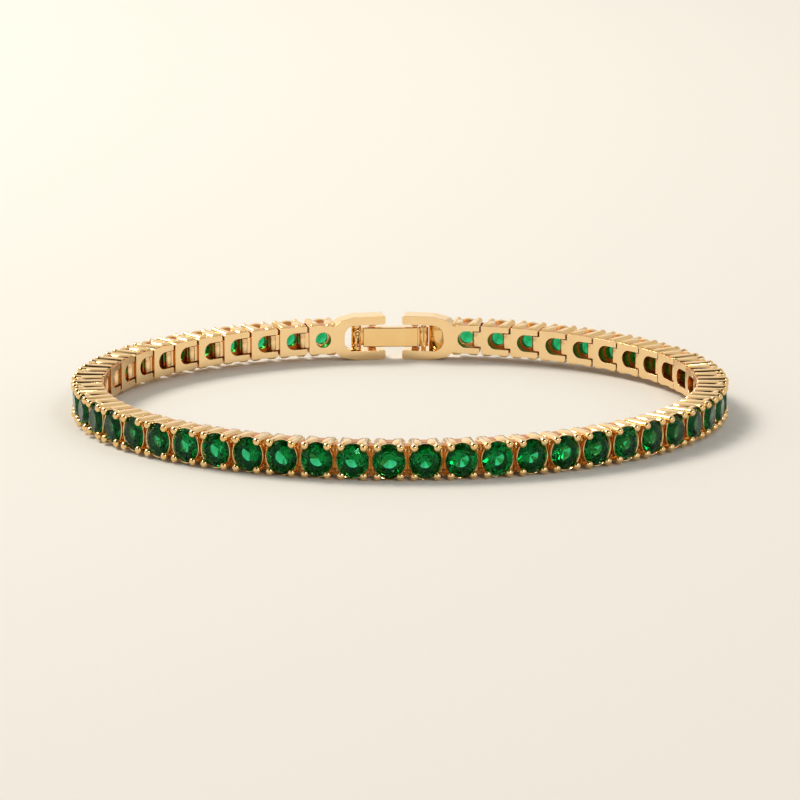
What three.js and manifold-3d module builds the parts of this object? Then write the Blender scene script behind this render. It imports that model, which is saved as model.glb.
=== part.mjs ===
// A tennis bracelet: a closed string of square four-prong links with round stones, and a lever clasp.
// Millimetres, +Z up. The bracelet stands on its edge round a wrist opening along Z, with the clasp at +Y.
//
// Each piece is drawn in its own frame: x runs along the string, clockwise as seen from above,
// y is the depth from the wrist side outwards, and z is up, with 0 at the middle of the string's height.

import * as THREE from "three";
import { mergeVertices } from "three/addons/utils/BufferGeometryUtils.js";
import Module from "manifold-3d";

const wasm = await Module();
wasm.setup();

// The loop as it was laid down
const linkCount = 48;
const pitch = 3.4;
const loopDepthShare = 0.85;
const claspShift = 1.1;

// The frame of a link, on the wrist side: a plate with a slot that is open towards the next link
const linkHeight = 3.72;
const linkGap = 0.28;
const frameThickness = 1.2;
const slotHeight = 1.84;
const slotBackWall = 0.75;
const armPastHinge = 0.36;

// The hinge of two links: a tongue between two arms, on a pin
const tongueThickness = 0.9;
const tongueSideGap = 0.1;
const linkPinDiameter = 0.4;
const linkPinClearance = 0.1;
const linkPinGrip = 0.2;

// The setting: four prongs at the corners of a grooved block
const seatDepth = 2.5;
const prongWidth = 0.72;
const tipFootWidth = 0.6;
const tipTopWidth = 0.4;
const tipTopDepth = 3.35;
const grooveDepth = 0.24;

// The round stones
const stoneDiameter = 3.1;
const tableDiameter = 1.76;
const tableDepth = 3.2;
const girdleDepth = 2.7;
const girdleThickness = 0.08;
const culetDepth = 1.42;
const stoneClearance = 0.1;

// The two end settings and their forks
const backHoleDiameter = 1.7;
const waistHeight = 2.8;
const forkHeight = 4.85;
const forkThickness = 2.1;
const forkArmHeight = 1.0;
const forkRootLength = 1.2;
const waistStart = 0.3;
const windowReach = 2.35;
const forkReach = 6.9;
const windowCornerRadius = 0.75;
const armCornerRadius = 0.35;
const nibWidth = 0.75;
const nibFromTip = 0.95;

// The lever and its two pins
const catchPinFromTip = 3.06;
const hingePinFromTip = 2.21;
const pinSpan = 7.2;
const claspPinDiameter = 0.5;
const pinSocketDepth = 0.5;
const claspPinClearance = 0.08;
const barrelWall = 0.22;
const clawHeight = 1.95;
const leverHeight = 2.15;
const leverThickness = 1.1;
const leverBevel = 0.2;
const leverSideGap = 0.12;

// Number of sides of the round forms
const stoneSides = 10;
const endStoneSides = 12;
const linkPinSides = 5;
const boreSides = 8;
const claspRoundSides = 12;
const slotSteps = 3;
const cornerSteps = 3;

// Sizes that follow from the ones above
const linkLength = pitch - linkGap;
const backEdge = -linkLength / 2;
const hingeAhead = linkLength / 2 - armPastHinge;
const hingeBehind = hingeAhead - pitch;
const hingeDepth = frameThickness / 2;
const catchPinReach = forkReach - catchPinFromTip;
const hingePinReach = forkReach - hingePinFromTip;
const claspPinDepth = forkThickness / 2;
const windowHeight = forkHeight - 2 * forkArmHeight;
const forkStart = windowReach - forkRootLength;
const overlap = 0.02;

// The metal and the stones
const flatShading = true;
const gold = new THREE.MeshStandardMaterial({ color: 0xe3b36c, roughness: 0.22, metalness: 1, flatShading });
const emerald = new THREE.MeshStandardMaterial({ color: 0x0b6b3a, roughness: 0.08, metalness: 0, flatShading });

// A closed geometry as a solid that can be joined and cut
function solidOf(geometry) {
  const bare = geometry.clone();
  bare.deleteAttribute("normal");
  bare.deleteAttribute("uv");
  const merged = mergeVertices(bare, 1e-5);
  const corners = merged.index.array;
  const triVerts = [];
  for (let i = 0; i < corners.length; i += 3) {
    const [a, b, c] = corners.slice(i, i + 3);
    const closedUp = a === b || b === c || c === a;
    if (!closedUp) triVerts.push(a, b, c);
  }
  const vertProperties = merged.attributes.position.array;
  const mesh = new wasm.Mesh({ numProp: 3, vertProperties, triVerts: new Uint32Array(triVerts) });
  return new wasm.Manifold(mesh);
}

// A solid as a geometry that a mesh can show
function geometryOf(solid) {
  const { vertProperties, triVerts } = solid.getMesh();
  const geometry = new THREE.BufferGeometry();
  geometry.setAttribute("position", new THREE.BufferAttribute(vertProperties, 3));
  geometry.setIndex(new THREE.BufferAttribute(triVerts, 1));
  geometry.computeVertexNormals();
  return geometry;
}

function join(solids) {
  return solids.reduce((whole, next) => whole.add(next));
}

// An outline in x and z, raised from one depth to another
function raised(outline, from, to, curveSegments = cornerSteps) {
  const settings = { depth: to - from, bevelEnabled: false, curveSegments };
  const geometry = new THREE.ExtrudeGeometry(outline, settings);
  return solidOf(geometry.rotateX(-Math.PI / 2).translate(0, from, 0));
}

// An outline in x and depth, as tall as given and centred on the string
function upright(outline, height) {
  const geometry = new THREE.ExtrudeGeometry(outline, { depth: height, bevelEnabled: false });
  return solidOf(geometry.translate(0, 0, -height / 2));
}

function outlineThrough(points) {
  return new THREE.Shape(points.map(([x, y]) => new THREE.Vector2(x, y)));
}

// A round bar that stands up at one place along the string
function standingBar(x, depth, diameter, height, sides) {
  const bar = new THREE.CylinderGeometry(diameter / 2, diameter / 2, height, sides);
  return solidOf(bar.rotateX(Math.PI / 2).translate(x, depth, 0));
}

function box(fromX, toX, fromDepth, toDepth, fromZ, toZ) {
  const block = new THREE.BoxGeometry(toX - fromX, toDepth - fromDepth, toZ - fromZ);
  return solidOf(block.translate((fromX + toX) / 2, (fromDepth + toDepth) / 2, (fromZ + toZ) / 2));
}

// The square outline of a setting: a prong's foot at each corner, and a shallow groove between the feet
function settingOutline() {
  const x = linkLength / 2;
  const z = linkHeight / 2;
  const inner = x - prongWidth;
  const groove = z - grooveDepth;
  const top = [[-x, z], [-inner, z], [-inner, groove], [inner, groove], [inner, z], [x, z]];
  const bottom = top.map(([along, up]) => [along, -up]).reverse();
  return outlineThrough([...top, ...bottom]);
}

// The slot on the wrist side, round at one end and open towards the next link
function slotCut() {
  const halfSlot = slotHeight / 2;
  const slotCentre = backEdge + slotBackWall + halfSlot;
  const outline = new THREE.Shape();
  outline.moveTo(linkLength, -halfSlot);
  outline.lineTo(slotCentre, -halfSlot);
  outline.absarc(slotCentre, 0, halfSlot, -Math.PI / 2, Math.PI / 2, true);
  outline.lineTo(linkLength, halfSlot);
  return raised(outline, -overlap, frameThickness, slotSteps);
}

// The tongue that reaches back between the arms of the link before, with its rounded end on the pin
function tongue() {
  const half = tongueThickness / 2;
  const end = hingeBehind - half;
  const outline = outlineThrough([
    [backEdge + overlap, hingeDepth - half],
    [backEdge + overlap, hingeDepth + half],
    [hingeBehind, hingeDepth + half],
    [end, hingeDepth + half * 0.4],
    [end, hingeDepth - half * 0.4],
    [hingeBehind, hingeDepth - half],
  ]);
  return upright(outline, slotHeight - 2 * tongueSideGap);
}

// A tongue that turns on a pin of another piece
function boredTongue() {
  const boreDiameter = linkPinDiameter + 2 * linkPinClearance;
  return tongue().subtract(standingBar(hingeBehind, hingeDepth, boreDiameter, linkHeight, boreSides));
}

// The pin across the arms, which carries the next link's tongue
function linkPin() {
  return standingBar(hingeAhead, hingeDepth, linkPinDiameter, slotHeight + 2 * linkPinGrip, linkPinSides);
}

// The end of one prong, which narrows towards its tip
function prongTip(sideX, sideZ) {
  const x = sideX * (linkLength / 2 - prongWidth / 2);
  const z = sideZ * (linkHeight / 2 - prongWidth / 2);
  const foot = seatDepth - overlap;
  const tip = new THREE.CylinderGeometry(
    tipTopWidth * Math.SQRT1_2,
    tipFootWidth * Math.SQRT1_2,
    tipTopDepth - foot,
    4,
  );
  return solidOf(tip.rotateY(Math.PI / 4).translate(x, (foot + tipTopDepth) / 2, z));
}

function prongTips() {
  return join([prongTip(-1, -1), prongTip(-1, 1), prongTip(1, -1), prongTip(1, 1)]);
}

// A body of revolution about the depth axis, from a profile of radius and depth
function turned(profile, sides) {
  const points = profile.map(([radius, depth]) => new THREE.Vector2(radius, depth));
  return solidOf(new THREE.LatheGeometry(points, sides));
}

// The crown of a stone that is fused to its seat: a table and a ring of facets
function setCrown() {
  return turned(
    [
      [0, seatDepth - overlap],
      [stoneDiameter / 2, seatDepth - overlap],
      [tableDiameter / 2, tableDepth],
      [0, tableDepth],
    ],
    stoneSides,
  );
}

// A whole stone, with its point towards the wrist, grown on all sides by a margin
function wholeStone(margin) {
  const radius = stoneDiameter / 2 + margin;
  return turned(
    [
      [0, culetDepth - margin],
      [radius, girdleDepth - girdleThickness - margin / 2],
      [radius, girdleDepth + margin / 2],
      [tableDiameter / 2 + margin / 2, tableDepth + margin],
      [0, tableDepth + margin],
    ],
    endStoneSides,
  );
}

// A link with its stone. The tongue turns on the link before it, or is fused to that link's pin.
function link(ownTongue) {
  const body = raised(settingOutline(), 0, seatDepth).subtract(slotCut());
  return join([body, ownTongue, linkPin(), setCrown(), prongTips()]);
}

// The plate of an end setting, which narrows to a waist on the side of its fork
function endPlate(side) {
  const edge = side * backEdge;
  const half = linkHeight / 2;
  const waist = waistHeight / 2;
  const outline = new THREE.Shape();
  outline.moveTo(edge, half);
  outline.lineTo(side * waistStart, half);
  outline.quadraticCurveTo(side * forkStart, half, side * forkStart, waist);
  outline.lineTo(-edge, waist);
  outline.lineTo(-edge, -waist);
  outline.lineTo(side * forkStart, -waist);
  outline.quadraticCurveTo(side * forkStart, -half, side * waistStart, -half);
  outline.lineTo(edge, -half);
  return raised(outline, 0, frameThickness);
}

// The upper half of a fork's outline, from its root in the waist round the arm's tip to the window's end
function forkEdge() {
  const outer = forkHeight / 2;
  const inner = windowHeight / 2;
  const cornerEnd = windowReach + windowCornerRadius;
  const edge = new THREE.Path();
  edge.moveTo(forkStart, waistHeight / 2);
  edge.quadraticCurveTo(windowReach, outer, cornerEnd, outer);
  edge.lineTo(forkReach - armCornerRadius, outer);
  edge.quadraticCurveTo(forkReach, outer, forkReach, outer - armCornerRadius);
  edge.lineTo(forkReach, inner);
  edge.lineTo(cornerEnd, inner);
  edge.quadraticCurveTo(windowReach, inner, windowReach, inner - windowCornerRadius);
  return edge.getPoints(cornerSteps);
}

// A fork that opens to one side, with a socket in each arm for its pin and a nib that guides the lever
function fork(side, pinReach) {
  const upper = forkEdge().map(({ x, y }) => [side * x, y]);
  const lower = upper.map(([x, y]) => [x, -y]).reverse();
  const body = raised(outlineThrough([...upper, ...lower]), 0, forkThickness);
  const socketDiameter = claspPinDiameter + 2 * claspPinClearance;
  const socketHeight = windowHeight + 2 * pinSocketDepth;
  const sockets = standingBar(side * pinReach, claspPinDepth, socketDiameter, socketHeight, claspRoundSides);
  return join([body.subtract(sockets), nib(side, 1), nib(side, -1)]);
}

function nib(side, up) {
  const x = side * (forkReach - nibFromTip - nibWidth / 2);
  const low = leverHeight / 2 + leverSideGap;
  const high = windowHeight / 2 + overlap;
  const halfDepth = leverThickness / 2;
  const block = new THREE.BoxGeometry(nibWidth, 2 * halfDepth, high - low);
  return solidOf(block.translate(x, claspPinDepth, (up * (low + high)) / 2));
}

// The way that is cut through an end setting, for its stone and the view of the stone's back
function stoneWay() {
  const radius = backHoleDiameter / 2;
  const share = backHoleDiameter / stoneDiameter;
  const top = culetDepth + (girdleDepth - culetDepth) * share;
  const hole = turned([[0, -overlap], [radius, -overlap], [radius, top], [0, top]], endStoneSides);
  return hole.add(wholeStone(stoneClearance));
}

// An end setting without its hinge: the plate, the block of the setting and the fork on one side
function endSetting(side, pinReach) {
  const block = raised(settingOutline(), frameThickness - overlap, seatDepth);
  return join([endPlate(side), fork(side, pinReach), block, prongTips()]);
}

// The end setting on the left of the clasp: its tongue turns on the last link's pin
function catchEnd() {
  return endSetting(1, catchPinReach).add(boredTongue()).subtract(stoneWay());
}

// The end setting on the right of the clasp: its arms carry the first link
function hingeEnd() {
  return endSetting(-1, hingePinReach).subtract(slotCut()).subtract(stoneWay()).add(linkPin());
}

// A pin of the clasp, which ends short of the bottoms of its sockets
function claspPin() {
  const height = windowHeight + 2 * (pinSocketDepth - claspPinClearance);
  return standingBar(0, 0, claspPinDiameter, height, claspRoundSides);
}

// The bar of the lever, with its long edges bevelled
function leverBar(from, to) {
  const halfHeight = leverHeight / 2;
  const halfDepth = leverThickness / 2;
  const bevelHeight = halfHeight - leverBevel;
  const bevelDepth = halfDepth - leverBevel;
  const outline = outlineThrough([
    [halfHeight, -bevelDepth],
    [halfHeight, bevelDepth],
    [bevelHeight, halfDepth],
    [-bevelHeight, halfDepth],
    [-halfHeight, bevelDepth],
    [-halfHeight, -bevelDepth],
    [-bevelHeight, -halfDepth],
    [bevelHeight, -halfDepth],
  ]);
  const bar = new THREE.ExtrudeGeometry(outline, { depth: to - from, bevelEnabled: false });
  return solidOf(bar.rotateY(Math.PI / 2).translate(from, 0, 0));
}

// The lever: a barrel on the hinge pin, the bar, and a claw whose mouth takes the catch pin from outside
function lever(length) {
  const bore = claspPinDiameter + 2 * claspPinClearance;
  const round = bore + 2 * barrelWall;
  const barFrom = round / 2 + leverBevel;
  const barrel = standingBar(length, 0, round, leverHeight, claspRoundSides);
  const bar = leverBar(barFrom, length - bore / 2);
  const halfClaw = clawHeight / 2;
  const neck = box(bore / 2, barFrom + overlap, -barrelWall, round / 2 - overlap, -halfClaw, halfClaw);
  const claw = standingBar(0, 0, round, clawHeight, claspRoundSides);
  const mouth = box(-bore / 2, bore / 2, -round, 0, -clawHeight, clawHeight);
  const hingeBore = standingBar(length, 0, bore, 2 * leverHeight, claspRoundSides);
  const clawBore = standingBar(0, 0, bore, 2 * leverHeight, claspRoundSides);
  return join([barrel, bar, neck, claw]).subtract(hingeBore).subtract(clawBore).subtract(mouth);
}

// A point of the oval at a turn about it, clockwise from the far side as seen from above
function ovalPoint(halfWidth, turn) {
  return new THREE.Vector3(halfWidth * Math.sin(turn), halfWidth * loopDepthShare * Math.cos(turn), 0);
}

// The turns at the ends of the chords, from the catch pin round the string and back to it
function turnsAlong(halfWidth, chords) {
  const turns = [-(claspShift + pinSpan / 2) / halfWidth];
  for (const chord of chords) {
    const start = turns.at(-1);
    const from = ovalPoint(halfWidth, start);
    let step = chord / halfWidth;
    for (let round = 0; round < 30; round += 1) {
      step *= chord / from.distanceTo(ovalPoint(halfWidth, start + step));
    }
    turns.push(start + step);
  }
  return turns;
}

// The hinge points of the loop: the oval is found on which all the chords just close
function loopPoints() {
  const hingeChord = hingePinReach + hingeAhead;
  const catchChord = catchPinReach - hingeBehind;
  const chords = [pinSpan, hingeChord, ...Array(linkCount).fill(pitch), catchChord];
  const length = chords.reduce((sum, chord) => sum + chord);
  let low = length / 8;
  let high = length / 4;
  for (let round = 0; round < 50; round += 1) {
    const middle = (low + high) / 2;
    const turns = turnsAlong(middle, chords);
    if (turns.at(-1) - turns[0] > 2 * Math.PI) low = middle;
    else high = middle;
  }
  return turnsAlong(high, chords).map((turn) => ovalPoint(high, turn));
}

// The place of a piece that lies between two points, the first of which it meets at fromX and at a depth
function placeBetween(from, to, fromX, depth) {
  const along = to.clone().sub(from).normalize();
  const up = new THREE.Vector3(0, 0, 1);
  const outward = up.clone().cross(along);
  const origin = from.clone().addScaledVector(along, -fromX).addScaledVector(outward, -depth);
  return new THREE.Matrix4().makeBasis(along, outward, up).setPosition(origin);
}

function pieceMesh(name, solid, material, place) {
  const mesh = new THREE.Mesh(geometryOf(solid), material.clone());
  mesh.name = name;
  mesh.applyMatrix4(place);
  return mesh;
}

// A row of links fused pin to tongue, whose first tongue turns on the piece before the row
function linkRow(name, places) {
  const first = geometryOf(link(boredTongue()));
  const next = geometryOf(link(tongue()));
  const solids = places.map((place, i) => solidOf((i === 0 ? first : next).clone().applyMatrix4(place)));
  return pieceMesh(name, join(solids), gold, new THREE.Matrix4());
}

// The tilt at which the tall forks and the far lower links both stand on the surface
function restingTilt(points) {
  const drop = (forkHeight - linkHeight) / 2;
  const nearest = Math.min(...points.map((point) => point.y)) - frameThickness / 2;
  const farthest = Math.max(...points.map((point) => point.y)) - frameThickness / 2;
  return Math.atan(drop / (farthest - nearest));
}

function braceletPieces() {
  const points = loopPoints();
  const hingePlace = placeBetween(points[1], points[2], -hingePinReach, hingeDepth);
  const catchPlace = placeBetween(points.at(-2), points.at(-1), hingeBehind, hingeDepth);
  const linkPlaces = points
    .slice(2, -2)
    .map((point, i) => placeBetween(point, points[i + 3], hingeBehind, hingeDepth));
  const half = Math.floor(linkCount / 2);
  const hingeAxis = new THREE.Vector3(-hingePinReach, claspPinDepth, 0).applyMatrix4(hingePlace);
  const catchAxis = new THREE.Vector3(catchPinReach, claspPinDepth, 0).applyMatrix4(catchPlace);
  const leverPlace = placeBetween(catchAxis, hingeAxis, 0, 0);
  const hingePinPlace = hingePlace.clone().setPosition(hingeAxis);
  const catchPinPlace = catchPlace.clone().setPosition(catchAxis);
  const group = new THREE.Group();
  group.add(
    linkRow("link_row_right", linkPlaces.slice(0, half)),
    linkRow("link_row_left", linkPlaces.slice(half)),
    pieceMesh("clasp_fork_right", hingeEnd(), gold, hingePlace),
    pieceMesh("clasp_fork_left", catchEnd(), gold, catchPlace),
    pieceMesh("end_stone_right", wholeStone(0), emerald, hingePlace),
    pieceMesh("end_stone_left", wholeStone(0), emerald, catchPlace),
    pieceMesh("clasp_lever", lever(catchAxis.distanceTo(hingeAxis)), gold, leverPlace),
    pieceMesh("clasp_hinge_pin", claspPin(), gold, hingePinPlace),
    pieceMesh("clasp_catch_pin", claspPin(), gold, catchPinPlace),
  );
  group.rotation.x = restingTilt(points);
  return group;
}

// The bracelet stands on the surface, with the origin below the middle of its outer box
const bracelet = new THREE.Group();
bracelet.add(braceletPieces());
const extent = new THREE.Box3().setFromObject(bracelet, true);
const middle = extent.getCenter(new THREE.Vector3());
bracelet.position.set(-middle.x, -middle.y, -extent.min.z);

export default bracelet;
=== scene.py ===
# %% [markdown]
# # A tennis bracelet that stands on its edge
#
# The real object is a string of small square gold settings, each with a round green stone held by
# four prongs. Each setting hooks into the next one with a flat tongue, and a lever clasp between
# two forks closes the loop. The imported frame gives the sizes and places. This lesson models one
# link, one stone and the clasp in fine detail, and copies them along the same hinge points.

# %% Load the frame
import math

import bpy
from mathutils import Matrix, Vector


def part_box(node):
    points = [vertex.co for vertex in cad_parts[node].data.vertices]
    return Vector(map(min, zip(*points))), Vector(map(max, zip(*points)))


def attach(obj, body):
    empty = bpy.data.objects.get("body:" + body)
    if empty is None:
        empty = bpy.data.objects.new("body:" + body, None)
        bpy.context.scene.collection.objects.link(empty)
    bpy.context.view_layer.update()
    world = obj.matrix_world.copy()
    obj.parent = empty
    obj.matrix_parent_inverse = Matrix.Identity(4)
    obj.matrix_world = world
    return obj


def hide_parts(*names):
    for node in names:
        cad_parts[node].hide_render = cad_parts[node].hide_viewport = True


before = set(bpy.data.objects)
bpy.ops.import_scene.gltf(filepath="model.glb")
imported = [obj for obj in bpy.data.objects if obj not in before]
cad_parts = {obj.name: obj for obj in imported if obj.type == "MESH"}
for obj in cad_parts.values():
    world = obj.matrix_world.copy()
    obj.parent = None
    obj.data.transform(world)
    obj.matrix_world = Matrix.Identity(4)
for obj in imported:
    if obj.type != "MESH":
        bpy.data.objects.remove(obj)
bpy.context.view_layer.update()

# %% [markdown]
# ## The camera
#
# The photograph was taken with a long lens from a low height, so the far side is hardly smaller
# than the near one. A lens of more than 200 mm at half a metre gives that. The bracelet's middle
# lies a little above the middle of the picture, so the camera aims a little below it.

# %% Camera
MM = 0.001
IMAGE_PIXELS = 800
CAMERA_DISTANCE = 0.510
CAMERA_ELEVATION = math.radians(12.95)
FOCAL_PIXELS = 4920
SENSOR_WIDTH = 36.0
CLIP_START = 0.01
MIDDLE_PIXEL_ROW = 391.7
MIDDLE_HEIGHT = 2.45

ring_middle = Vector((0.0, 0.0, MIDDLE_HEIGHT * MM))
towards_camera = Vector((0.0, -math.cos(CAMERA_ELEVATION), math.sin(CAMERA_ELEVATION)))
camera_up = Vector((0.0, math.sin(CAMERA_ELEVATION), math.cos(CAMERA_ELEVATION)))
pixel = CAMERA_DISTANCE / FOCAL_PIXELS
aim = ring_middle - camera_up * (IMAGE_PIXELS / 2 - MIDDLE_PIXEL_ROW) * pixel
camera_data = bpy.data.cameras.new("photo_camera")
camera_data.sensor_width = SENSOR_WIDTH
camera_data.lens = FOCAL_PIXELS * SENSOR_WIDTH / IMAGE_PIXELS
camera_data.clip_start = CLIP_START
camera = bpy.data.objects.new("photo_camera", camera_data)
camera.location = aim + towards_camera * CAMERA_DISTANCE
camera.rotation_euler = (-towards_camera).to_track_quat("-Z", "Y").to_euler()
bpy.context.scene.collection.objects.link(camera)
bpy.context.scene.camera = camera
print("lens of", round(camera_data.lens), "mm")

# %% [markdown]
# ## The loop of hinge points
#
# The links of a closed bracelet are equal chords of an oval. The oval's size isn't set: it is the
# one on which all the chords just close, found by halving an interval again and again, the way
# the frame's solids were laid out. Each piece then has its own frame: x along the string, y the
# depth from the wrist outwards, and z up. Pieces are modelled with one unit for a millimetre.

# %% Sizes of the loop, in millimetres
LINKS = 48
PITCH = 3.4
LOOP_DEPTH_SHARE = 0.85
CLASP_SHIFT = 1.1
LINK_HEIGHT = 3.72
LINK_LENGTH = 3.12
FRAME_THICKNESS = 1.2
FORK_HEIGHT = 4.85
FORK_THICKNESS = 2.1
FORK_REACH = 6.9
CATCH_PIN_REACH = 3.84
HINGE_PIN_REACH = 4.69
PIN_SPAN = 7.2
HINGE_AHEAD = 1.2
HINGE_BEHIND = HINGE_AHEAD - PITCH
HINGE_DEPTH = FRAME_THICKNESS / 2
CLASP_PIN_DEPTH = FORK_THICKNESS / 2


# %% Hinge points
HALVINGS = 50
CHORD_STEPS = 30


def oval_point(half_width, turn):
    depth = half_width * LOOP_DEPTH_SHARE
    return Vector((half_width * math.sin(turn), depth * math.cos(turn), 0.0))


def turns_along(half_width, chords):
    turns = [-(CLASP_SHIFT + PIN_SPAN / 2) / half_width]
    for chord in chords:
        here = oval_point(half_width, turns[-1])
        step = chord / half_width
        for _ in range(CHORD_STEPS):
            step *= chord / (oval_point(half_width, turns[-1] + step) - here).length
        turns.append(turns[-1] + step)
    return turns


def loop_points():
    """The half width lies between an eighth and a quarter of the loop's length."""
    hinge_chord = HINGE_PIN_REACH + HINGE_AHEAD
    catch_chord = CATCH_PIN_REACH - HINGE_BEHIND
    chords = [PIN_SPAN, hinge_chord] + [PITCH] * LINKS + [catch_chord]
    low, high = sum(chords) / 8, sum(chords) / 4
    for _ in range(HALVINGS):
        middle = (low + high) / 2
        turns = turns_along(middle, chords)
        if turns[-1] - turns[0] > 2 * math.pi:
            low = middle
        else:
            high = middle
    return [oval_point(high, turn) for turn in turns_along(high, chords)]


points = loop_points()
print("half width of the hinge line:", round(max(p.x for p in points), 2), "mm")


# %% [markdown]
# ## Places
#
# The forks are taller than the links, so the whole loop leans back by a little over half a degree.
# The pin of the lever's hinge is known in the frame, and it ties this layout to the frame's place.


# %% Places of the pieces
def place_between(here, there, from_x, depth):
    along = (there - here).normalized()
    outward = Vector((0, 0, 1)).cross(along)
    origin = here - along * from_x - outward * depth
    place = Matrix((along, outward, Vector((0, 0, 1)))).transposed().to_4x4()
    place.translation = origin
    return place


hinge_place = place_between(points[1], points[2], -HINGE_PIN_REACH, HINGE_DEPTH)
catch_place = place_between(points[-2], points[-1], HINGE_BEHIND, HINGE_DEPTH)
link_places = [
    place_between(points[i + 2], points[i + 3], HINGE_BEHIND, HINGE_DEPTH) for i in range(LINKS)
]
hinge_axis = hinge_place @ Vector((-HINGE_PIN_REACH, CLASP_PIN_DEPTH, 0))
catch_axis = catch_place @ Vector((CATCH_PIN_REACH, CLASP_PIN_DEPTH, 0))
lever_place = place_between(catch_axis, hinge_axis, 0, 0)
lever_length = (hinge_axis - catch_axis).length

depths = [p.y - HINGE_DEPTH for p in points]
lean_angle = math.atan((FORK_HEIGHT - LINK_HEIGHT) / 2 / (max(depths) - min(depths)))
lean = Matrix.Rotation(lean_angle, 4, "X")
pin_low, pin_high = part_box("clasp_hinge_pin")
pin_middle = (pin_low + pin_high) / 2
shift = Matrix.Translation(pin_middle / MM - lean @ hinge_axis)
to_frame = Matrix.Scale(MM, 4) @ shift @ lean
print("lean:", round(math.degrees(lean_angle), 3), "degrees")

# %% [markdown]
# ## Hands and tools
#
# Modelling by hand means: make one piece active, change it in edit mode, apply its modifiers.
# These few helpers do that. Everything is deselected first, because an operator acts on all that
# is selected.


# %% Helpers for a piece
ROUND_SIDES = 32
FACING = 0.9


def work_on(piece):
    bpy.ops.object.select_all(action="DESELECT")
    piece.select_set(True)
    bpy.context.view_layer.objects.active = piece


def edit(piece):
    work_on(piece)
    bpy.ops.object.mode_set(mode="EDIT")
    bpy.ops.mesh.select_mode(type="VERT")
    bpy.ops.mesh.select_all(action="SELECT")


def done():
    bpy.ops.object.mode_set(mode="OBJECT")
    return bpy.context.active_object


def settle(piece):
    """The place and size of the object go into its mesh."""
    work_on(piece)
    bpy.ops.object.transform_apply(location=True, rotation=True, scale=True)
    return piece


def block(name, low, high):
    bpy.ops.object.select_all(action="DESELECT")
    bpy.ops.mesh.primitive_cube_add(size=1)
    piece = bpy.context.active_object
    piece.name = name
    piece.location = [(a + b) / 2 for a, b in zip(low, high)]
    piece.scale = [b - a for a, b in zip(low, high)]
    return settle(piece)


def bar(name, radius, start, end, sides):
    """A round bar from one point to another."""
    bpy.ops.object.select_all(action="DESELECT")
    way = Vector(end) - Vector(start)
    bpy.ops.mesh.primitive_cylinder_add(vertices=sides, radius=radius, depth=way.length)
    piece = bpy.context.active_object
    piece.name = name
    piece.rotation_euler = way.to_track_quat("Z", "Y").to_euler()
    piece.location = (Vector(start) + Vector(end)) / 2
    return settle(piece)


def soften(piece, width, segments=2, angle=35):
    """Rounds every edge that turns by more than the angle."""
    work_on(piece)
    bevel = piece.modifiers.new("soft edges", "BEVEL")
    bevel.width = width
    bevel.segments = segments
    bevel.limit_method = "ANGLE"
    bevel.angle_limit = math.radians(angle)
    bpy.ops.object.modifier_apply(modifier=bevel.name)
    return piece


def cut(piece, *tools):
    """Takes the tools' forms out of the piece and removes the tools."""
    for tool in tools:
        work_on(piece)
        boolean = piece.modifiers.new("cut", "BOOLEAN")
        boolean.operation = "DIFFERENCE"
        boolean.object = tool
        boolean.solver = "EXACT"
        bpy.ops.object.modifier_apply(modifier=boolean.name)
        bpy.data.objects.remove(tool)
    return piece


def join_all(name, parts):
    bpy.ops.object.select_all(action="DESELECT")
    for part in parts:
        part.select_set(True)
    bpy.context.view_layer.objects.active = parts[0]
    bpy.ops.object.join()
    parts[0].name = name
    return parts[0]


# %% [markdown]
# ## Drawing an outline
#
# A plate or a fork is drawn the way one draws with a pen: one point is extruded from corner to
# corner, the line is filled, and the face is extruded to its thickness. Corners are given with
# their radius, and an arc is worked out for each of them.


# %% Outlines
ARC_STEP = 12
SAME_POINT = 1e-4


def rounded(corners, arc_step=ARC_STEP):
    """The points of an outline whose corners are given as (x, z, radius)."""
    outline = []
    for i, (x, z, radius) in enumerate(corners):
        corner = Vector((x, z))
        before = (Vector(corners[i - 1][:2]) - corner).normalized()
        after = (Vector(corners[(i + 1) % len(corners)][:2]) - corner).normalized()
        if radius == 0:
            outline.append(corner)
            continue
        opening = before.angle(after)
        centre = corner + (before + after).normalized() * radius / math.sin(opening / 2)
        start = corner + before * radius / math.tan(opening / 2) - centre
        end = corner + after * radius / math.tan(opening / 2) - centre
        sweep = start.angle_signed(end)
        steps = max(2, math.ceil(abs(math.degrees(sweep)) / arc_step))
        for step in range(steps + 1):
            turn = Matrix.Rotation(-sweep * step / steps, 2)
            outline.append(centre + turn @ start)
    return [p for i, p in enumerate(outline) if (p - outline[i - 1]).length > SAME_POINT]


def plate(name, outline, from_depth, to_depth):
    """Draws the outline at one depth and extrudes it to another."""
    bpy.ops.object.select_all(action="DESELECT")
    bpy.ops.mesh.primitive_plane_add(size=1)
    piece = bpy.context.active_object
    piece.name = name
    bpy.ops.object.mode_set(mode="EDIT")
    bpy.ops.mesh.select_mode(type="VERT")
    bpy.ops.mesh.merge(type="CENTER")
    path = [Vector((p.x, from_depth, p.y)) for p in outline]
    bpy.ops.transform.translate(value=path[0])
    for here, there in zip(path, path[1:]):
        bpy.ops.mesh.extrude_region_move(TRANSFORM_OT_translate={"value": there - here})
    bpy.ops.mesh.select_all(action="SELECT")
    bpy.ops.mesh.edge_face_add()
    thickness = Vector((0, to_depth - from_depth, 0))
    bpy.ops.mesh.extrude_region_move(TRANSFORM_OT_translate={"value": thickness})
    bpy.ops.mesh.select_all(action="SELECT")
    bpy.ops.mesh.normals_make_consistent(inside=False)
    return done()
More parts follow.
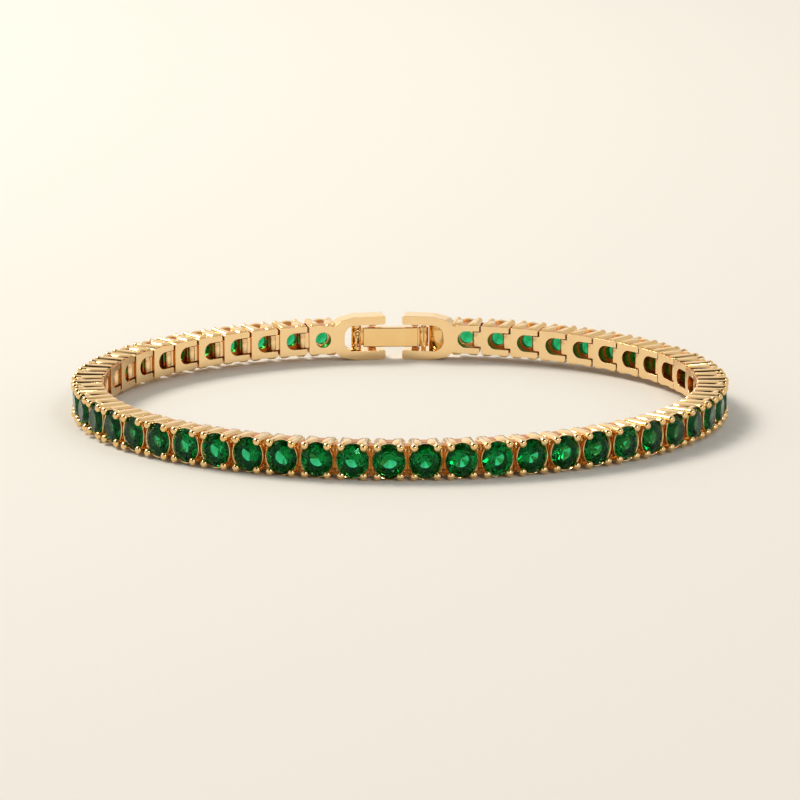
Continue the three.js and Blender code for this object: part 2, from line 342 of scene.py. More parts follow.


# %% [markdown]
# ## The finishes
#
# The metal is yellow gold in three finishes. Prongs, forks and lever are polished to a mirror, so
# they show soft dark and light reflections. The side that lies on the wrist is only tumbled, which
# leaves a satin face. Inside the slots, in the grooves and deep between the stones the gold is left
# rougher, as cast, and its darker, redder tones are painted shade for those hollows. One function
# makes all three, from a light and a deep tone, two limits of roughness and a fine grain.


# %% Colours and nodes
def colour(code):
    """An sRGB hex colour as linear light."""
    channels = [int(code[i : i + 2], 16) / 255 for i in (1, 3, 5)]
    linear = [c / 12.92 if c <= 0.04045 else ((c + 0.055) / 1.055) ** 2.4 for c in channels]
    return (*linear, 1.0)


def add_node(tree, kind, settings=None, links=None):
    """Adds one node, sets its properties and socket values, and links its inputs."""
    node = tree.nodes.new(kind)
    for name, value in (settings or {}).items():
        if isinstance(name, int) or name in node.inputs:
            node.inputs[name].default_value = value
        else:
            setattr(node, name, value)
    for name, source in (links or {}).items():
        tree.links.new(source, node.inputs[name])
    return node


def new_material(name):
    material = bpy.data.materials.new(name)
    material.use_nodes = True
    material.node_tree.nodes.clear()
    return material, material.node_tree


def per_mm(size):
    """The scale of a noise whose features are so many millimetres wide."""
    return 1 / (size * MM)


# %% Gold
TONE_PATCH = 2.2
GRAIN_STRENGTH = 0.6
GRAIN_LOW = 0.3
GRAIN_HIGH = 0.7


def gold(name, light, deep, smooth, rough, grain, grain_depth):
    """Grain is the width of its spots and grain_depth their height, in millimetres."""
    material, tree = new_material(name)
    where = add_node(tree, "ShaderNodeTexCoord").outputs["Object"]
    cloud = add_node(
        tree, "ShaderNodeTexNoise", {"Scale": per_mm(TONE_PATCH), "Detail": 3.0}, {"Vector": where}
    )
    fine = add_node(
        tree, "ShaderNodeTexNoise", {"Scale": per_mm(grain), "Detail": 2.0}, {"Vector": where}
    )
    tone = add_node(
        tree,
        "ShaderNodeMix",
        {"data_type": "RGBA", 6: colour(light), 7: colour(deep)},
        {0: cloud.outputs["Fac"]},
    )
    gloss = add_node(
        tree,
        "ShaderNodeMapRange",
        {"From Min": GRAIN_LOW, "From Max": GRAIN_HIGH, "To Min": smooth, "To Max": rough},
        {"Value": fine.outputs["Fac"]},
    )
    bump = add_node(
        tree,
        "ShaderNodeBump",
        {"Strength": GRAIN_STRENGTH, "Distance": grain_depth * MM},
        {"Height": fine.outputs["Fac"]},
    )
    shader = add_node(
        tree,
        "ShaderNodeBsdfPrincipled",
        {"Metallic": 1.0},
        {
            "Base Color": tone.outputs[2],
            "Roughness": gloss.outputs["Result"],
            "Normal": bump.outputs["Normal"],
        },
    )
    add_node(tree, "ShaderNodeOutputMaterial", None, {"Surface": shader.outputs["BSDF"]})
    return material


polished_gold = gold("polished_yellow_gold", "#FADA9E", "#F1C380", 0.07, 0.15, 0.35, 0.002)
satin_gold = gold("satin_yellow_gold", "#FEE0AE", "#F9D39A", 0.16, 0.25, 0.12, 0.002)
# The cast gold is rougher, as cast gold is, and its darker, redder tones are painted shade for the
# hollows it is put in.
cast_gold_painted_shade = gold("yellow_gold_as_cast_with_painted_shade", "#DC964A", "#B86C26", 0.24, 0.40, 0.2, 0.012)


# %% [markdown]
# ## The emerald
#
# The stones are clear green with a high polish. Light is coloured on its way through a stone, so
# the stone is darker where it is deeper. A volume that absorbs light does that, and a coloured
# surface doesn't. A green tint on the reflections keeps the facets from flashing white.

# %% Emerald
EMERALD_PATCH = 5.0
EMERALD_ROUGHNESS = 0.01
EMERALD_IOR = 1.58
EMERALD_DENSITY = 1800.0


def emerald(name):
    material, tree = new_material(name)
    where = add_node(tree, "ShaderNodeTexCoord").outputs["Object"]
    cloud = add_node(
        tree, "ShaderNodeTexNoise", {"Scale": per_mm(EMERALD_PATCH), "Detail": 1.0}, {"Vector": where}
    )
    tone = add_node(
        tree,
        "ShaderNodeMix",
        {"data_type": "RGBA", 6: colour("#D2FFE6"), 7: colour("#B4F5D2")},
        {0: cloud.outputs["Fac"]},
    )
    shader = add_node(
        tree,
        "ShaderNodeBsdfPrincipled",
        {
            "Metallic": 0.0,
            "Roughness": EMERALD_ROUGHNESS,
            "IOR": EMERALD_IOR,
            "Transmission Weight": 1.0,
            "Specular Tint": colour("#6FCB9C"),
        },
        {"Base Color": tone.outputs[2]},
    )
    depth = add_node(
        tree,
        "ShaderNodeVolumeAbsorption",
        {"Color": colour("#00E6C6"), "Density": EMERALD_DENSITY},
    )
    add_node(
        tree,
        "ShaderNodeOutputMaterial",
        None,
        {"Surface": shader.outputs["BSDF"], "Volume": depth.outputs["Volume"]},
    )
    return material


cut_emerald = emerald("cut_emerald")

# %% [markdown]
# ## Giving a piece its finish
#
# A piece starts with one material. A fork gets a second one on the faces that lie on the wrist.
# Those faces are found by the way they face, so none has to be picked by hand.

# %% Finish a piece
WRIST_DEPTH = 0.01


def finish(piece, material, wrist_side=None):
    """Gives the piece its material, and its faces on the wrist side another one."""
    piece.data.materials.clear()
    piece.data.materials.append(material)
    if wrist_side:
        piece.data.materials.append(wrist_side)
        for face in piece.data.polygons:
            on_wrist = face.normal.y < -FACING and face.center.y < WRIST_DEPTH
            face.material_index = 1 if on_wrist else 0
    return piece


print("materials:", [m.name for m in bpy.data.materials if m.users])

# %% [markdown]
# ## The cut stone
#
# A gem cutter grinds one flat after another on a wheel. Bisect does the same to a mesh: a plane
# cuts it, the outer part is thrown away and the cut is filled. A round brilliant has a table,
# 8 stars, 8 kites and 16 halves above its girdle, and 8 mains and 16 halves below. The photograph
# shows stones that are a little taller than wide, so the finished stone is stretched upwards.

# %% Sizes of the stone
STONE_RADIUS = 1.56
STONE_STRETCH = 1.09
TABLE_RADIUS = 0.93
TABLE_DEPTH = 3.2
GIRDLE_TOP = 2.7
GIRDLE_BOTTOM = 2.62
KITE_ANGLE = math.atan((TABLE_DEPTH - GIRDLE_TOP) / (STONE_RADIUS - TABLE_RADIUS))
STAR_ANGLE = math.radians(22)
CROWN_HALF_ANGLE = math.radians(44)
PAVILION_ANGLE = math.radians(40.5)
LOWER_HALF_ANGLE = math.radians(42.5)
ROUGH_START = 0.6
FACET_TOLERANCE = 0.002


# %% Cut the stone
def grind(turn, angle, radius, height, at_turn=None, upwards=True):
    """One flat: it faces out at a turn, leans by its angle, and passes through a point."""
    at_turn = turn if at_turn is None else at_turn
    point = Vector((radius * math.cos(at_turn), height, radius * math.sin(at_turn)))
    lift = math.cos(angle) if upwards else -math.cos(angle)
    normal = Vector((math.sin(angle) * math.cos(turn), lift, math.sin(angle) * math.sin(turn)))
    bpy.ops.mesh.select_all(action="SELECT")
    bpy.ops.mesh.bisect(plane_co=point, plane_no=normal, use_fill=True, clear_outer=True)


def brilliant(name):
    stone = bar(name, STONE_RADIUS, (0, ROUGH_START, 0), (0, TABLE_DEPTH, 0), ROUND_SIDES)
    culet = GIRDLE_BOTTOM - STONE_RADIUS * math.tan(PAVILION_ANGLE)
    eighth = math.pi / 4
    edit(stone)
    for k in range(8):
        turn = k * eighth
        grind(turn, KITE_ANGLE, STONE_RADIUS, GIRDLE_TOP)
        grind(turn, PAVILION_ANGLE, 0, culet, upwards=False)
        grind(turn + eighth / 2, STAR_ANGLE, TABLE_RADIUS, TABLE_DEPTH, at_turn=turn)
        for side in (-1, 1):
            half = turn + side * eighth / 4
            grind(half, CROWN_HALF_ANGLE, STONE_RADIUS, GIRDLE_TOP, at_turn=turn)
            grind(half, LOWER_HALF_ANGLE, STONE_RADIUS, GIRDLE_BOTTOM, turn, upwards=False)
    bpy.ops.mesh.select_all(action="SELECT")
    bpy.ops.mesh.remove_doubles(threshold=FACET_TOLERANCE)
    bpy.ops.mesh.normals_make_consistent(inside=False)
    return finish(done(), cut_emerald)


stone = brilliant("stone_model")
print("faces of the stone:", len(stone.data.polygons))

# %% [markdown]
# ## The prongs
#
# Each prong is a round wire that runs from the wrist plate to the stone, and ends in a small bead
# that is pushed over the stone's edge. So it is one bar, whose end face is extruded and resized
# again and again along the profile of a ball.

# %% Sizes of the setting
PRONG_X = 1.13
PRONG_Z = 1.43
WIRE_RADIUS = 0.365
WIRE_START = 0.1
BEAD_RADIUS = 0.425
BEAD_DEPTH = 2.94
RIB_X = 0.83
RIB_Z = 1.38
RIB_HALF_WIDTH = 0.62
RIB_HALF_HEIGHT = 0.4
GROOVE_Z = 1.5
BORE_RADIUS = 0.72
BORE_TOP = 1.88
CORE_TOP = 2.2
CORE_HALF_WIDTH = 1.52
CORE_FLARE = 1.15
COUNTERSINK_GAP = 0.03
THROUGH = 3


# %% A prong
PRONG_SIDES = 14
BEAD_RINGS = 7
WIRE_END_SHARE = 0.8
FIRST_RISE = -0.55
RISE_IN_ALL = 1.53


def prong(x, z):
    wire_end = BEAD_DEPTH - WIRE_END_SHARE * BEAD_RADIUS
    piece = bar("prong", WIRE_RADIUS, (x, WIRE_START, z), (x, wire_end, z), PRONG_SIDES)
    edit(piece)
    bpy.ops.mesh.select_all(action="DESELECT")
    bpy.ops.object.mode_set(mode="OBJECT")
    for face in piece.data.polygons:
        face.select = face.normal.y > FACING
    bpy.ops.object.mode_set(mode="EDIT")
    bpy.ops.mesh.select_mode(type="FACE")
    depth, radius = wire_end, WIRE_RADIUS
    for ring in range(BEAD_RINGS):
        rise = FIRST_RISE + (ring + 1) / BEAD_RINGS * RISE_IN_ALL
        new_depth = BEAD_DEPTH + rise * BEAD_RADIUS
        new_radius = BEAD_RADIUS * math.sqrt(max(1 - rise * rise, 0.0))
        move = {"value": (0, new_depth - depth, 0)}
        bpy.ops.mesh.extrude_region_move(TRANSFORM_OT_translate=move)
        share = new_radius / radius
        bpy.ops.transform.resize(value=(share, 1, share), center_override=(x, new_depth, z))
        depth, radius = new_depth, new_radius
    return done()


def prongs():
    made = []
    for side_x in (-1, 1):
        for side_z in (-1, 1):
            wire = prong(side_x * PRONG_X, side_z * PRONG_Z)
            made.append(finish(soften(wire, 0.1, 2, 60), polished_gold))
    return made


# %% [markdown]
# ## The seat
#
# The stone lies in a round cup with a thin bright rim. A cup is a turned form: its section is
# drawn and spun about the depth axis. The stone is taller than wide, so the cup is stretched too.
# The gold behind it is bored and opened to the stone's slope, so that light can reach the stone.


# %% The seat and its core
SEAT_OUTSIDE = [(1.3, 1.6), (1.62, 2.25), (1.7, 2.58), (1.69, 2.7)]
SEAT_RIM = [(1.64, 2.75), (1.575, 2.7), (1.56, 2.6)]
SEAT_INSIDE = [(BORE_RADIUS, BORE_TOP), (BORE_RADIUS, 1.6)]
RIM_DEPTH = 2.4
RIM_LOOK = -0.5
SEAT_TOLERANCE = 0.001


def seat():
    bpy.ops.object.select_all(action="DESELECT")
    bpy.ops.mesh.primitive_plane_add(size=1)
    piece = bpy.context.active_object
    bpy.ops.object.mode_set(mode="EDIT")
    bpy.ops.mesh.select_mode(type="VERT")
    bpy.ops.mesh.merge(type="CENTER")
    path = [Vector((x, y, 0)) for x, y in SEAT_OUTSIDE + SEAT_RIM + SEAT_INSIDE]
    bpy.ops.transform.translate(value=path[0])
    for here, there in zip(path, path[1:] + path[:1]):
        bpy.ops.mesh.extrude_region_move(TRANSFORM_OT_translate={"value": there - here})
    bpy.ops.mesh.select_all(action="SELECT")
    bpy.ops.mesh.spin(steps=ROUND_SIDES, angle=2 * math.pi, center=(0, 0, 0), axis=(0, 1, 0))
    bpy.ops.mesh.select_all(action="SELECT")
    bpy.ops.mesh.remove_doubles(threshold=SEAT_TOLERANCE)
    bpy.ops.mesh.normals_make_consistent(inside=False)
    piece = done()
    piece.name = "seat"
    piece.scale = (1, 1, STONE_STRETCH)
    settle(piece)
    piece.data.materials.clear()
    piece.data.materials.append(polished_gold)
    piece.data.materials.append(cast_gold_painted_shade)
    # Only the rim stays polished; the rest of the cup gets the cast gold, whose darker colour is
    # painted shade inside the cup.
    for face in piece.data.polygons:
        on_rim = face.center.y > RIM_DEPTH and face.normal.y > RIM_LOOK
        face.material_index = 0 if on_rim else 1
    return piece


def core(start_depth):
    """The body of the setting: it flares outwards, so that little shows between two stones."""
    x = CORE_HALF_WIDTH
    piece = block("core", (-x, start_depth, -GROOVE_Z), (x, CORE_TOP, GROOVE_Z))
    bpy.ops.object.mode_set(mode="OBJECT")
    for face in piece.data.polygons:
        face.select = face.normal.y > FACING
    bpy.ops.object.mode_set(mode="EDIT")
    bpy.ops.mesh.select_mode(type="FACE")
    bpy.ops.transform.resize(value=(CORE_FLARE, 1, 1), center_override=(0, CORE_TOP, 0))
    done()
    hole = bar("bore", BORE_RADIUS, (0, 0, 0), (0, THROUGH, 0), ROUND_SIDES)
    # The core gets the cast gold: rougher, and its darker colour is painted shade between the stones.
    return finish(soften(cut(piece, hole, countersink()), 0.05), cast_gold_painted_shade)


def countersink():
    """The tool that opens a bore to the slope of the stone's lower side."""
    bpy.ops.object.select_all(action="DESELECT")
    depth = STONE_RADIUS * math.tan(PAVILION_ANGLE)
    bpy.ops.mesh.primitive_cone_add(
        vertices=ROUND_SIDES, radius1=STONE_RADIUS, radius2=0, depth=depth
    )
    tool = bpy.context.active_object
    tool.rotation_euler = (math.pi / 2, 0, 0)
    tool.location = (0, GIRDLE_BOTTOM - COUNTERSINK_GAP - depth / 2, 0)
    tool.scale = (1, STONE_STRETCH, 1)
    return settle(tool)


# %% [markdown]
# ## Lugs and bars between the prongs
#
# The settings stand close together, with gold in the corners between their prongs. Small wires
# fill those corners, and two broad soft bars on each side run from the wrist plate to the seat.
# All are plain round bars: a lug is thin and slanted, and a broad bar is flattened by its scale.

# %% Lugs and bars
LUG_START = (1.5, 2.1, 1.42)
LUG_END = (1.62, 2.32, 0.88)
LUG_RADIUS = 0.13
LUG_SIDES = 10
RIB_START = 0.14
RIB_END = 2.4
RIB_SIDES = 28


def lugs():
    """Small wires that fill the corners between the prongs of two neighbours."""
    made = []
    for side_x in (-1, 1):
        for side_z in (-1, 1):
            start = (side_x * LUG_START[0], LUG_START[1], side_z * LUG_START[2])
            end = (side_x * LUG_END[0], LUG_END[1], side_z * LUG_END[2])
            wire = bar("lug", LUG_RADIUS, start, end, LUG_SIDES)
            made.append(finish(soften(wire, 0.05, 2, 60), polished_gold))
    return made


def ribs():
    """Two broad soft bars on each side, from the wrist plate to the seat, one for each prong."""
    made = []
    for side_x in (-1, 1):
        for side_z in (-1, 1):
            piece = bar("rib", 1, (0, RIB_START, 0), (0, RIB_END, 0), RIB_SIDES)
            piece.scale = (RIB_HALF_WIDTH, 1, RIB_HALF_HEIGHT)
            piece.location = (side_x * RIB_X, 0, side_z * RIB_Z)
            made.append(finish(soften(settle(piece), 0.1, 2, 60), polished_gold))
    return made


# %% [markdown]
# ## The link's plate and tongue
#
# On the wrist side each link is a flat plate with a slot, round at one end and open at the other.
# The next link's tongue lies in that slot and turns on a pin between the two arms.

# %% Plate, tongue and pin
PLATE_Z = 1.58
SLOT_Z = 0.92
SLOT_START = -LINK_LENGTH / 2 + 0.75
KNUCKLE_RADIUS = 0.45
KNUCKLE_SIDES = 24
TONGUE_HALF_HEIGHT = 0.82
TONGUE_HALF_THICKNESS = 0.39
TONGUE_LAP = 0.1
LINK_PIN_RADIUS = 0.2
LINK_PIN_SIDES = 10
LINK_PIN_LAP = 0.2


def paint_shade_in_hollows(piece):
    """Openings and grooves between the wires get the rougher cast gold, darker as painted shade."""
    piece.data.materials.append(cast_gold_painted_shade)
    last = len(piece.data.materials) - 1
    for face in piece.data.polygons:
        x, z = abs(face.center.x), abs(face.center.z)
        in_groove = abs(face.normal.z) > FACING and z > SLOT_Z + 0.05 and x < 1
        in_opening = abs(face.normal.y) < 0.6 and z < SLOT_Z + 0.02 and x < LINK_LENGTH / 2
        if face.center.y > 0.02 and (in_opening or in_groove):
            face.material_index = last
    return piece


def slot_corners():
    return [(SLOT_START, SLOT_Z, SLOT_Z - 0.001), (SLOT_START, -SLOT_Z, SLOT_Z - 0.001)]


def link_plate():
    x = LINK_LENGTH / 2
    corners = [
        (-x, -PLATE_Z, 0.16),
        (-x, PLATE_Z, 0.16),
        (x, PLATE_Z, 0.22),
        (x, SLOT_Z, 0.12),
        *slot_corners(),
        (x, -SLOT_Z, 0.12),
        (x, -PLATE_Z, 0.22),
    ]
    piece = plate("plate", rounded(corners), 0, FRAME_THICKNESS)
    return paint_shade_in_hollows(finish(soften(piece, 0.08, 3), satin_gold))


def tongue():
    height = TONGUE_HALF_HEIGHT
    thick = TONGUE_HALF_THICKNESS
    low = (HINGE_BEHIND, HINGE_DEPTH - thick, -height)
    high = (-LINK_LENGTH / 2 + TONGUE_LAP, HINGE_DEPTH + thick, height)
    neck = block("neck", low, high)
    ends = [(HINGE_BEHIND, HINGE_DEPTH, z) for z in (-height, height)]
    knuckle = bar("knuckle", KNUCKLE_RADIUS, *ends, KNUCKLE_SIDES)
    finish(soften(neck, 0.06), satin_gold)
    finish(soften(knuckle, 0.06, 2, 50), satin_gold)
    return [neck, knuckle]


def link_pin():
    ends = [(HINGE_AHEAD, HINGE_DEPTH, side * (SLOT_Z + LINK_PIN_LAP)) for side in (-1, 1)]
    # The pin gets the cast gold, whose darker colour is painted shade inside the slot.
    return finish(bar("link_pin", LINK_PIN_RADIUS, *ends, LINK_PIN_SIDES), cast_gold_painted_shade)


link_parts = [link_plate(), *tongue(), link_pin(), core(FRAME_THICKNESS - 0.1), seat()]
link = join_all("link_model", [*link_parts, *prongs(), *ribs(), *lugs()])
print("faces of a link:", len(link.data.polygons))

# %% [markdown]
# ## The end settings and their forks
#
# The two end settings are soldered to forks. A fork is drawn as one outline with its plate, from
# the narrow waist round the soft shoulders to the arm's tips and back along the window, and is
# then extruded to its thickness. Its edges are well rounded, as cast and polished edges are.

# %% Sizes of the forks
WAIST_Z = 1.4
WINDOW_Z = FORK_HEIGHT / 2 - 1.0
WINDOW_START = 2.35
FORK_ARC_STEP = 8
FORK_EDGE = 0.18
VIEW_HOLE_RADIUS = 0.85
BEFORE_WRIST = -0.5
NIB_ENDS = (5.2, 5.95)
NIB_START_Z = 1.2
NIB_DEPTHS = (0.5, 1.6)


# %% An end setting
def fork_corners(side):
    outer = FORK_HEIGHT / 2
    upper = [
        (-LINK_LENGTH / 2, PLATE_Z, 0.16),
        (0.75, PLATE_Z, 0.5),
        (1.25, WAIST_Z, 0.4),
        (2.0, outer - 0.38, 0.7),
        (3.6, outer - 0.02, 2.4),
        (FORK_REACH, outer, 0.25),
        (FORK_REACH, WINDOW_Z, 0.2),
        (WINDOW_START, WINDOW_Z, 1.15),
    ]
    lower = [(x, -z, radius) for x, z, radius in reversed(upper)]
    return [(side * x, z, radius) for x, z, radius in upper + lower]


def end_setting(name, side, openings):
    body = plate(name, rounded(fork_corners(side), FORK_ARC_STEP), 0, FORK_THICKNESS)
    bore = bar("bore", BORE_RADIUS, (0, FRAME_THICKNESS, 0), (0, THROUGH, 0), ROUND_SIDES)
    cut(body, *openings, bore, countersink())
    paint_shade_in_hollows(finish(soften(body, FORK_EDGE, 4, 30), polished_gold, satin_gold))
    return [body, core(FORK_THICKNESS - 0.05), seat(), *prongs(), *ribs(), *lugs()]


def round_opening():
    start, end = (0, BEFORE_WRIST, 0), (0, FRAME_THICKNESS + 0.1, 0)
    return bar("view_hole", VIEW_HOLE_RADIUS, start, end, ROUND_SIDES)


def slot_opening():
    corners = [(3, SLOT_Z, 0), *slot_corners(), (3, -SLOT_Z, 0)]
    return plate("slot", rounded(corners), BEFORE_WRIST, FRAME_THICKNESS + 0.1)


def nibs(side):
    """Small guides between the arms' tips and the lever."""
    made = []
    for up in (-1, 1):
        low, high = sorted((up * NIB_START_Z, up * (WINDOW_Z + 0.05)))
        near, far = sorted(side * x for x in NIB_ENDS)
        piece = block("nib", (near, NIB_DEPTHS[0], low), (far, NIB_DEPTHS[1], high))
        # The nibs get the cast gold, whose darker colour is painted shade under the arms.
        made.append(finish(soften(piece, 0.06), cast_gold_painted_shade))
    return made


HEEL_LENGTH = 1.68
HEEL_DEPTHS = (0.7, 1.95)
TROUGH_RADIUS = 1.0
TROUGH_DEPTH = 0.35
TROUGH_AWAY = 0.75
LEVER_PATH_AWAY = 1.27
LEVER_PATH_DEPTH = 1.38


def heel():
    """A hollow web behind the barrel, that closes the window's round end."""
    z = WINDOW_Z + 0.05
    inner, outer = HEEL_DEPTHS
    piece = block("heel", (-WINDOW_START - HEEL_LENGTH, inner, -z), (-WINDOW_START + 0.1, outer, z))
    middle = -WINDOW_START - TROUGH_AWAY
    ends = [(middle, TROUGH_DEPTH, end) for end in (-2, 2)]
    trough = bar("trough", TROUGH_RADIUS, *ends, 48)
    path_low = (-WINDOW_START - 2, LEVER_PATH_DEPTH, -2)
    path_high = (-WINDOW_START - LEVER_PATH_AWAY, THROUGH, 2)
    lever_path = block("lever_path", path_low, path_high)
    return finish(soften(cut(piece, trough, lever_path), 0.04, 2, 50), polished_gold)


catch_parts = end_setting("catch_fork", 1, [round_opening()]) + nibs(1) + tongue()
catch_end = join_all("end_setting_left", catch_parts)
hinge_parts = end_setting("hinge_fork", -1, [slot_opening()]) + nibs(-1) + [link_pin(), heel()]
hinge_end = join_all("end_setting_right", hinge_parts)
print("faces of an end setting:", len(catch_end.data.polygons))

# %% [markdown]
# ## The lever and its pins
#
# The lever is a flat bar. At its hinge it is rolled into a barrel, with a fine seam where the
# roll ends. At its catch it ends in a claw that is open towards the wrist and lies on the catch
# pin. In front of the claw's mouth that pin carries a ring round a small bright ball, and it has
# a washer on each side of the claw.

# %% Sizes of the lever
LEVER_HEIGHT = 2.15
LEVER_HALF_THICKNESS = 0.55
CLAW_HEIGHT = 1.95
CLAW_RADIUS = 0.55
CLAW_BORE_RADIUS = 0.33
BARREL_BORE_RADIUS = 0.33
BORE_SIDES = 24
FLAT_START = 0.76
FLAT_END_GAP = 0.62
STRAP_LENGTH = 0.8
STRAP_INSET = 0.12
SEAM_HALF_WIDTH = 0.04
PIN_RADIUS = 0.25
PIN_HALF_LENGTH = WINDOW_Z + 0.42


# %% Lever
def lever():
    z = LEVER_HEIGHT / 2
    thick = LEVER_HALF_THICKNESS
    flat = block("flat", (FLAT_START, -thick, -z), (lever_length - FLAT_END_GAP, thick, z))
    finish(soften(flat, 0.12, 4), polished_gold)
    strap_low = (lever_length - STRAP_LENGTH, -0.3, -z + STRAP_INSET)
    strap = block("strap", strap_low, (lever_length, 0.5, z - STRAP_INSET))
    finish(soften(strap, 0.06), polished_gold)
    barrel = bar("barrel", thick, (lever_length, 0, -z), (lever_length, 0, z), ROUND_SIDES)
    bore_ends = [(lever_length, 0, end) for end in (-THROUGH, THROUGH)]
    bore = bar("bore", BARREL_BORE_RADIUS, *bore_ends, BORE_SIDES)
    seam_low = (lever_length - SEAM_HALF_WIDTH, -1, -0.55)
    seam = block("seam", seam_low, (lever_length + SEAM_HALF_WIDTH, -0.42, 2))
    finish(soften(cut(barrel, bore, seam), 0.05, 2, 50), polished_gold)
    half = CLAW_HEIGHT / 2
    claw = bar("claw", CLAW_RADIUS, (0, 0, -half), (0, 0, half), ROUND_SIDES)
    neck = block("neck", (0.3, -0.22, -half), (0.8, 0.53, half))
    gap = CLAW_BORE_RADIUS
    mouth = block("mouth", (-gap, -1, -THROUGH), (gap, 0, THROUGH))
    claw_bore = bar("claw_bore", gap, (0, 0, -THROUGH), (0, 0, THROUGH), BORE_SIDES)
    finish(soften(cut(claw, mouth, claw_bore), 0.05, 2, 50), polished_gold)
    finish(soften(neck, 0.04), polished_gold)
    return join_all("lever_bar", [flat, strap, barrel, claw, neck])


def clasp_pin(name):
    pin = bar(name, PIN_RADIUS, (0, 0, -PIN_HALF_LENGTH), (0, 0, PIN_HALF_LENGTH), BORE_SIDES)
    return finish(soften(pin, 0.05, 2, 50), polished_gold)


RING_RADIUS = 0.36
RING_WIRE_RADIUS = 0.1
RING_DEPTH = -0.6
RING_Z = 0.42
BALL_RADIUS = 0.23
BALL_DEPTH = -0.66
BALL_FLATNESS = 0.8
STEM_RADIUS = 0.12
STEM_START = -0.5
CROSS_RADIUS = 0.06
CROSS_DEPTH = -0.56
CROSS_HALF_LENGTH = 0.33
WASHER_RADIUS = 0.56
WASHER_ENDS = (1.03, 1.38)


def ring_with_ball():
    """A ring round a small bright ball, in front of the claw's mouth."""
    bpy.ops.object.select_all(action="DESELECT")
    bpy.ops.mesh.primitive_torus_add(
        major_segments=ROUND_SIDES,
        minor_segments=12,
        major_radius=RING_RADIUS,
        minor_radius=RING_WIRE_RADIUS,
    )
    ring = bpy.context.active_object
    ring.rotation_euler = (math.pi / 2, 0, 0)
    ring.location = (0, RING_DEPTH, RING_Z)
    bpy.ops.object.select_all(action="DESELECT")
    bpy.ops.mesh.primitive_uv_sphere_add(segments=20, ring_count=12, radius=BALL_RADIUS)
    ball = bpy.context.active_object
    ball.location = (0, BALL_DEPTH, RING_Z)
    ball.scale = (1, BALL_FLATNESS, 1)
    stem = bar("stem", STEM_RADIUS, (0, STEM_START, RING_Z), (0, 0, RING_Z), 12)
    half = CROSS_HALF_LENGTH
    cross_ends = [(x, CROSS_DEPTH, RING_Z) for x in (-half, half)]
    cross = bar("cross", CROSS_RADIUS, *cross_ends, 10)
    return [finish(settle(piece), polished_gold) for piece in (ring, ball, stem, cross)]


def washers():
    """Round washers on the pin, between the claw and the fork's arms."""
    made = []
    near, far = WASHER_ENDS
    for low, high in ((-far, -near), (near, far)):
        piece = bar("washer", WASHER_RADIUS, (0, 0, low), (0, 0, high), ROUND_SIDES)
        made.append(finish(soften(piece, 0.06, 2, 50), polished_gold))
    return made


lever_bar = lever()
hinge_pin = clasp_pin("hinge_pin")
catch_pin = join_all("catch_pin", [clasp_pin("pin"), *ring_with_ball(), *washers()])
print("faces of the lever:", len(lever_bar.data.polygons))

# %% [markdown]
# ## Laying out the string
#
# Each link and each stone is copied with a mesh of its own, moved to its place, and a half of the
# string is joined into one piece, as in the frame. No setter gives two stones the same turn, so
# each stone is turned by another angle before it is set. Without that, all of them would flash
# in the same way.


# %% Copies along the string
STONE_TILT = math.radians(1.6)
TILT_RHYTHM = 2.4
STONE_TURN = 2.39996


def copy_to(model, place):
    copy = model.copy()
    copy.data = model.data.copy()
    bpy.context.scene.collection.objects.link(copy)
    copy.data.transform(to_frame @ place)
    return copy


def stone_turn(number):
    stretch = Matrix.Diagonal((1, 1, STONE_STRETCH, 1))
    tilt = Matrix.Rotation(STONE_TILT * math.sin(number * TILT_RHYTHM), 4, "X")
    return stretch @ tilt @ Matrix.Rotation(number * STONE_TURN, 4, "Y")


def stone_at(number, place):
    return copy_to(stone, place @ stone_turn(number))


half_way = LINKS // 2
numbered = list(enumerate(link_places))
links_right = join_all("links_right", [copy_to(link, place) for _, place in numbered[:half_way]])
links_left = join_all("links_left", [copy_to(link, place) for _, place in numbered[half_way:]])
stones_right = join_all("stones_right", [stone_at(i, place) for i, place in numbered[:half_way]])
stones_left = join_all("stones_left", [stone_at(i, place) for i, place in numbered[half_way:]])
cut_stone_right = stone_at(LINKS, hinge_place)
cut_stone_right.name = "cut_stone_right"
cut_stone_left = stone_at(LINKS + 1, catch_place)
cut_stone_left.name = "cut_stone_left"

hinge_end.data.transform(to_frame @ hinge_place)
catch_end.data.transform(to_frame @ catch_place)
lever_bar.data.transform(to_frame @ lever_place)
hinge_pin.data.transform(to_frame @ Matrix.Translation(hinge_axis) @ hinge_place.to_3x3().to_4x4())
catch_pin.data.transform(to_frame @ Matrix.Translation(catch_axis) @ catch_place.to_3x3().to_4x4())
bpy.data.objects.remove(link)
bpy.data.objects.remove(stone)

# %% [markdown]
# ## Bodies and what each piece stands for
#
# Only the lever moves by itself. Every other piece rides on the bracelet. Metal has flat and
# round faces, so it is shaded smooth up to a small angle, and its normals are weighted by the
# faces' areas, which keeps a flat face even up to its soft edge. The stones stay faceted.

# %% Ride on the bodies
SMOOTH_ANGLE = math.radians(32)
metal = {
    links_right: ("bracelet", "link_row_right"),
    links_left: ("bracelet", "link_row_left"),
    hinge_end: ("bracelet", "clasp_fork_right"),
    catch_end: ("bracelet", "clasp_fork_left"),
    lever_bar: ("lever", "clasp_lever"),
    hinge_pin: ("bracelet", "clasp_hinge_pin"),
    catch_pin: ("bracelet", "clasp_catch_pin"),
}
stones = {
    stones_right: None,
    stones_left: None,
    cut_stone_right: "end_stone_right",
    cut_stone_left: "end_stone_left",
}
for piece, (body, node) in metal.items():
    work_on(piece)
    bpy.ops.object.shade_smooth_by_angle(angle=SMOOTH_ANGLE)
    weighted = piece.modifiers.new("even faces", "WEIGHTED_NORMAL")
    weighted.keep_sharp = True
    bpy.ops.object.modifier_apply(modifier=weighted.name)
    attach(piece, body)
    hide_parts(node)
